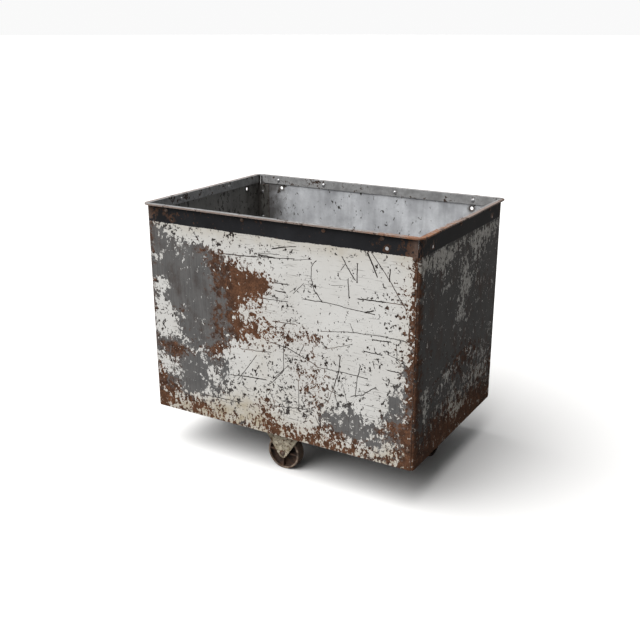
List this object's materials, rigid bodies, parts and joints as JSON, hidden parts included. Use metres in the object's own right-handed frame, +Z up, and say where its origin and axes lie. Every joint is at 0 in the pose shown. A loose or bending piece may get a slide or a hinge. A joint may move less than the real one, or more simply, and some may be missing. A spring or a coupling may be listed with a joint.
{
  "type": "rolling bin",
  "caption": "Open-top riveted sheet-steel bin with an angle-iron rim, on rigid casters at the long sides and swivel casters at the ends.",
  "frame": {"origin": "on the ground under the centre of the box, which is the centre of the bottom of its bounding box", "axes": "+X to the right along the long side, +Y to the back across the box, +Z up"},
  "size_m": [0.781, 0.53, 0.6665],
  "materials": {
    "enamelled_sheet": "chipped off-white paint over bare and rusty steel",
    "dark_sheet": "worn dark paint with pale remnants and rust",
    "galvanised_floor": "dull scuffed zinc",
    "rim_steel": "bare steel with orange rust",
    "rivet_steel": "rusty rivet heads",
    "runner_steel": "dark mill scale with rust",
    "fastener_steel": "dull rusty steel",
    "painted_bracket": "worn cream paint",
    "cast_wheel": "brown cast iron, tread worn bright",
    "bush_bronze": "dull bronze",
    "ball_steel": "greased steel"
  },
  "bodies": {
    "bin": {"front_panel": "enamelled_sheet", "back_panel": "enamelled_sheet", "left_end_panel": "dark_sheet", "right_end_panel": "dark_sheet", "floor_pan": "galvanised_floor", "rim_front": "rim_steel", "rim_back": "rim_steel", "rim_left": "rim_steel", "rim_right": "rim_steel", "rim_rivets": "rivet_steel", "seam_rivets_front_left": "rivet_steel", "seam_rivets_front_right": "rivet_steel", "seam_rivets_back_left": "rivet_steel", "seam_rivets_back_right": "rivet_steel", "long_runner": "runner_steel", "cross_runner_front": "runner_steel", "cross_runner_back": "runner_steel", "caster_bolts": "fastener_steel", "caster_nuts": "fastener_steel", "caster_washers": "fastener_steel", "axle_front": "fastener_steel", "axle_back": "fastener_steel", "axle_nut_front": "fastener_steel", "axle_nut_back": "fastener_steel", "axle_washers_front": "fastener_steel", "axle_washers_back": "fastener_steel", "kingpin_left": "fastener_steel", "kingpin_right": "fastener_steel", "bracket_front": "painted_bracket", "bracket_back": "painted_bracket", "rigid_plate_front": "painted_bracket", "rigid_plate_back": "painted_bracket", "swivel_plate_left": "painted_bracket", "swivel_plate_right": "painted_bracket", "race_cup_left": "painted_bracket", "race_cup_right": "painted_bracket"},
    "wheel_front": {"wheel_front": "cast_wheel", "bush_front": "bush_bronze"},
    "wheel_back": {"wheel_back": "cast_wheel", "bush_back": "bush_bronze"},
    "wheel_left": {"wheel_left": "cast_wheel", "bush_left": "bush_bronze"},
    "wheel_right": {"wheel_right": "cast_wheel", "bush_right": "bush_bronze"},
    "fork_left": {"fork_left": "painted_bracket", "race_balls_left": "ball_steel", "axle_left": "fastener_steel", "axle_nut_left": "fastener_steel", "axle_washers_left": "fastener_steel"},
    "fork_right": {"fork_right": "painted_bracket", "race_balls_right": "ball_steel", "axle_right": "fastener_steel", "axle_nut_right": "fastener_steel", "axle_washers_right": "fastener_steel"}
  },
  "joints": [
    {"name": "wheel_front_spin", "type": "hinge", "parent": "bin", "child": "wheel_front", "pos_m": [0.002, -0.209, 0.046], "axis": [0, 1, 0], "continuous": true},
    {"name": "wheel_back_spin", "type": "hinge", "parent": "bin", "child": "wheel_back", "pos_m": [0.002, 0.209, 0.046], "axis": [0, 1, 0], "continuous": true},
    {"name": "fork_left_swivel", "type": "hinge", "parent": "bin", "child": "fork_left", "pos_m": [-0.296, 0, 0.1], "axis": [0, 0, 1], "continuous": true},
    {"name": "fork_right_swivel", "type": "hinge", "parent": "bin", "child": "fork_right", "pos_m": [0.296, 0, 0.1], "axis": [0, 0, 1], "continuous": true},
    {"name": "wheel_left_spin", "type": "hinge", "parent": "fork_left", "child": "wheel_left", "pos_m": [-0.296, -0.042, 0.046], "axis": [1, 0, 0], "continuous": true},
    {"name": "wheel_right_spin", "type": "hinge", "parent": "fork_right", "child": "wheel_right", "pos_m": [0.296, 0.042, 0.046], "axis": [1, 0, 0], "continuous": true}
  ]
}
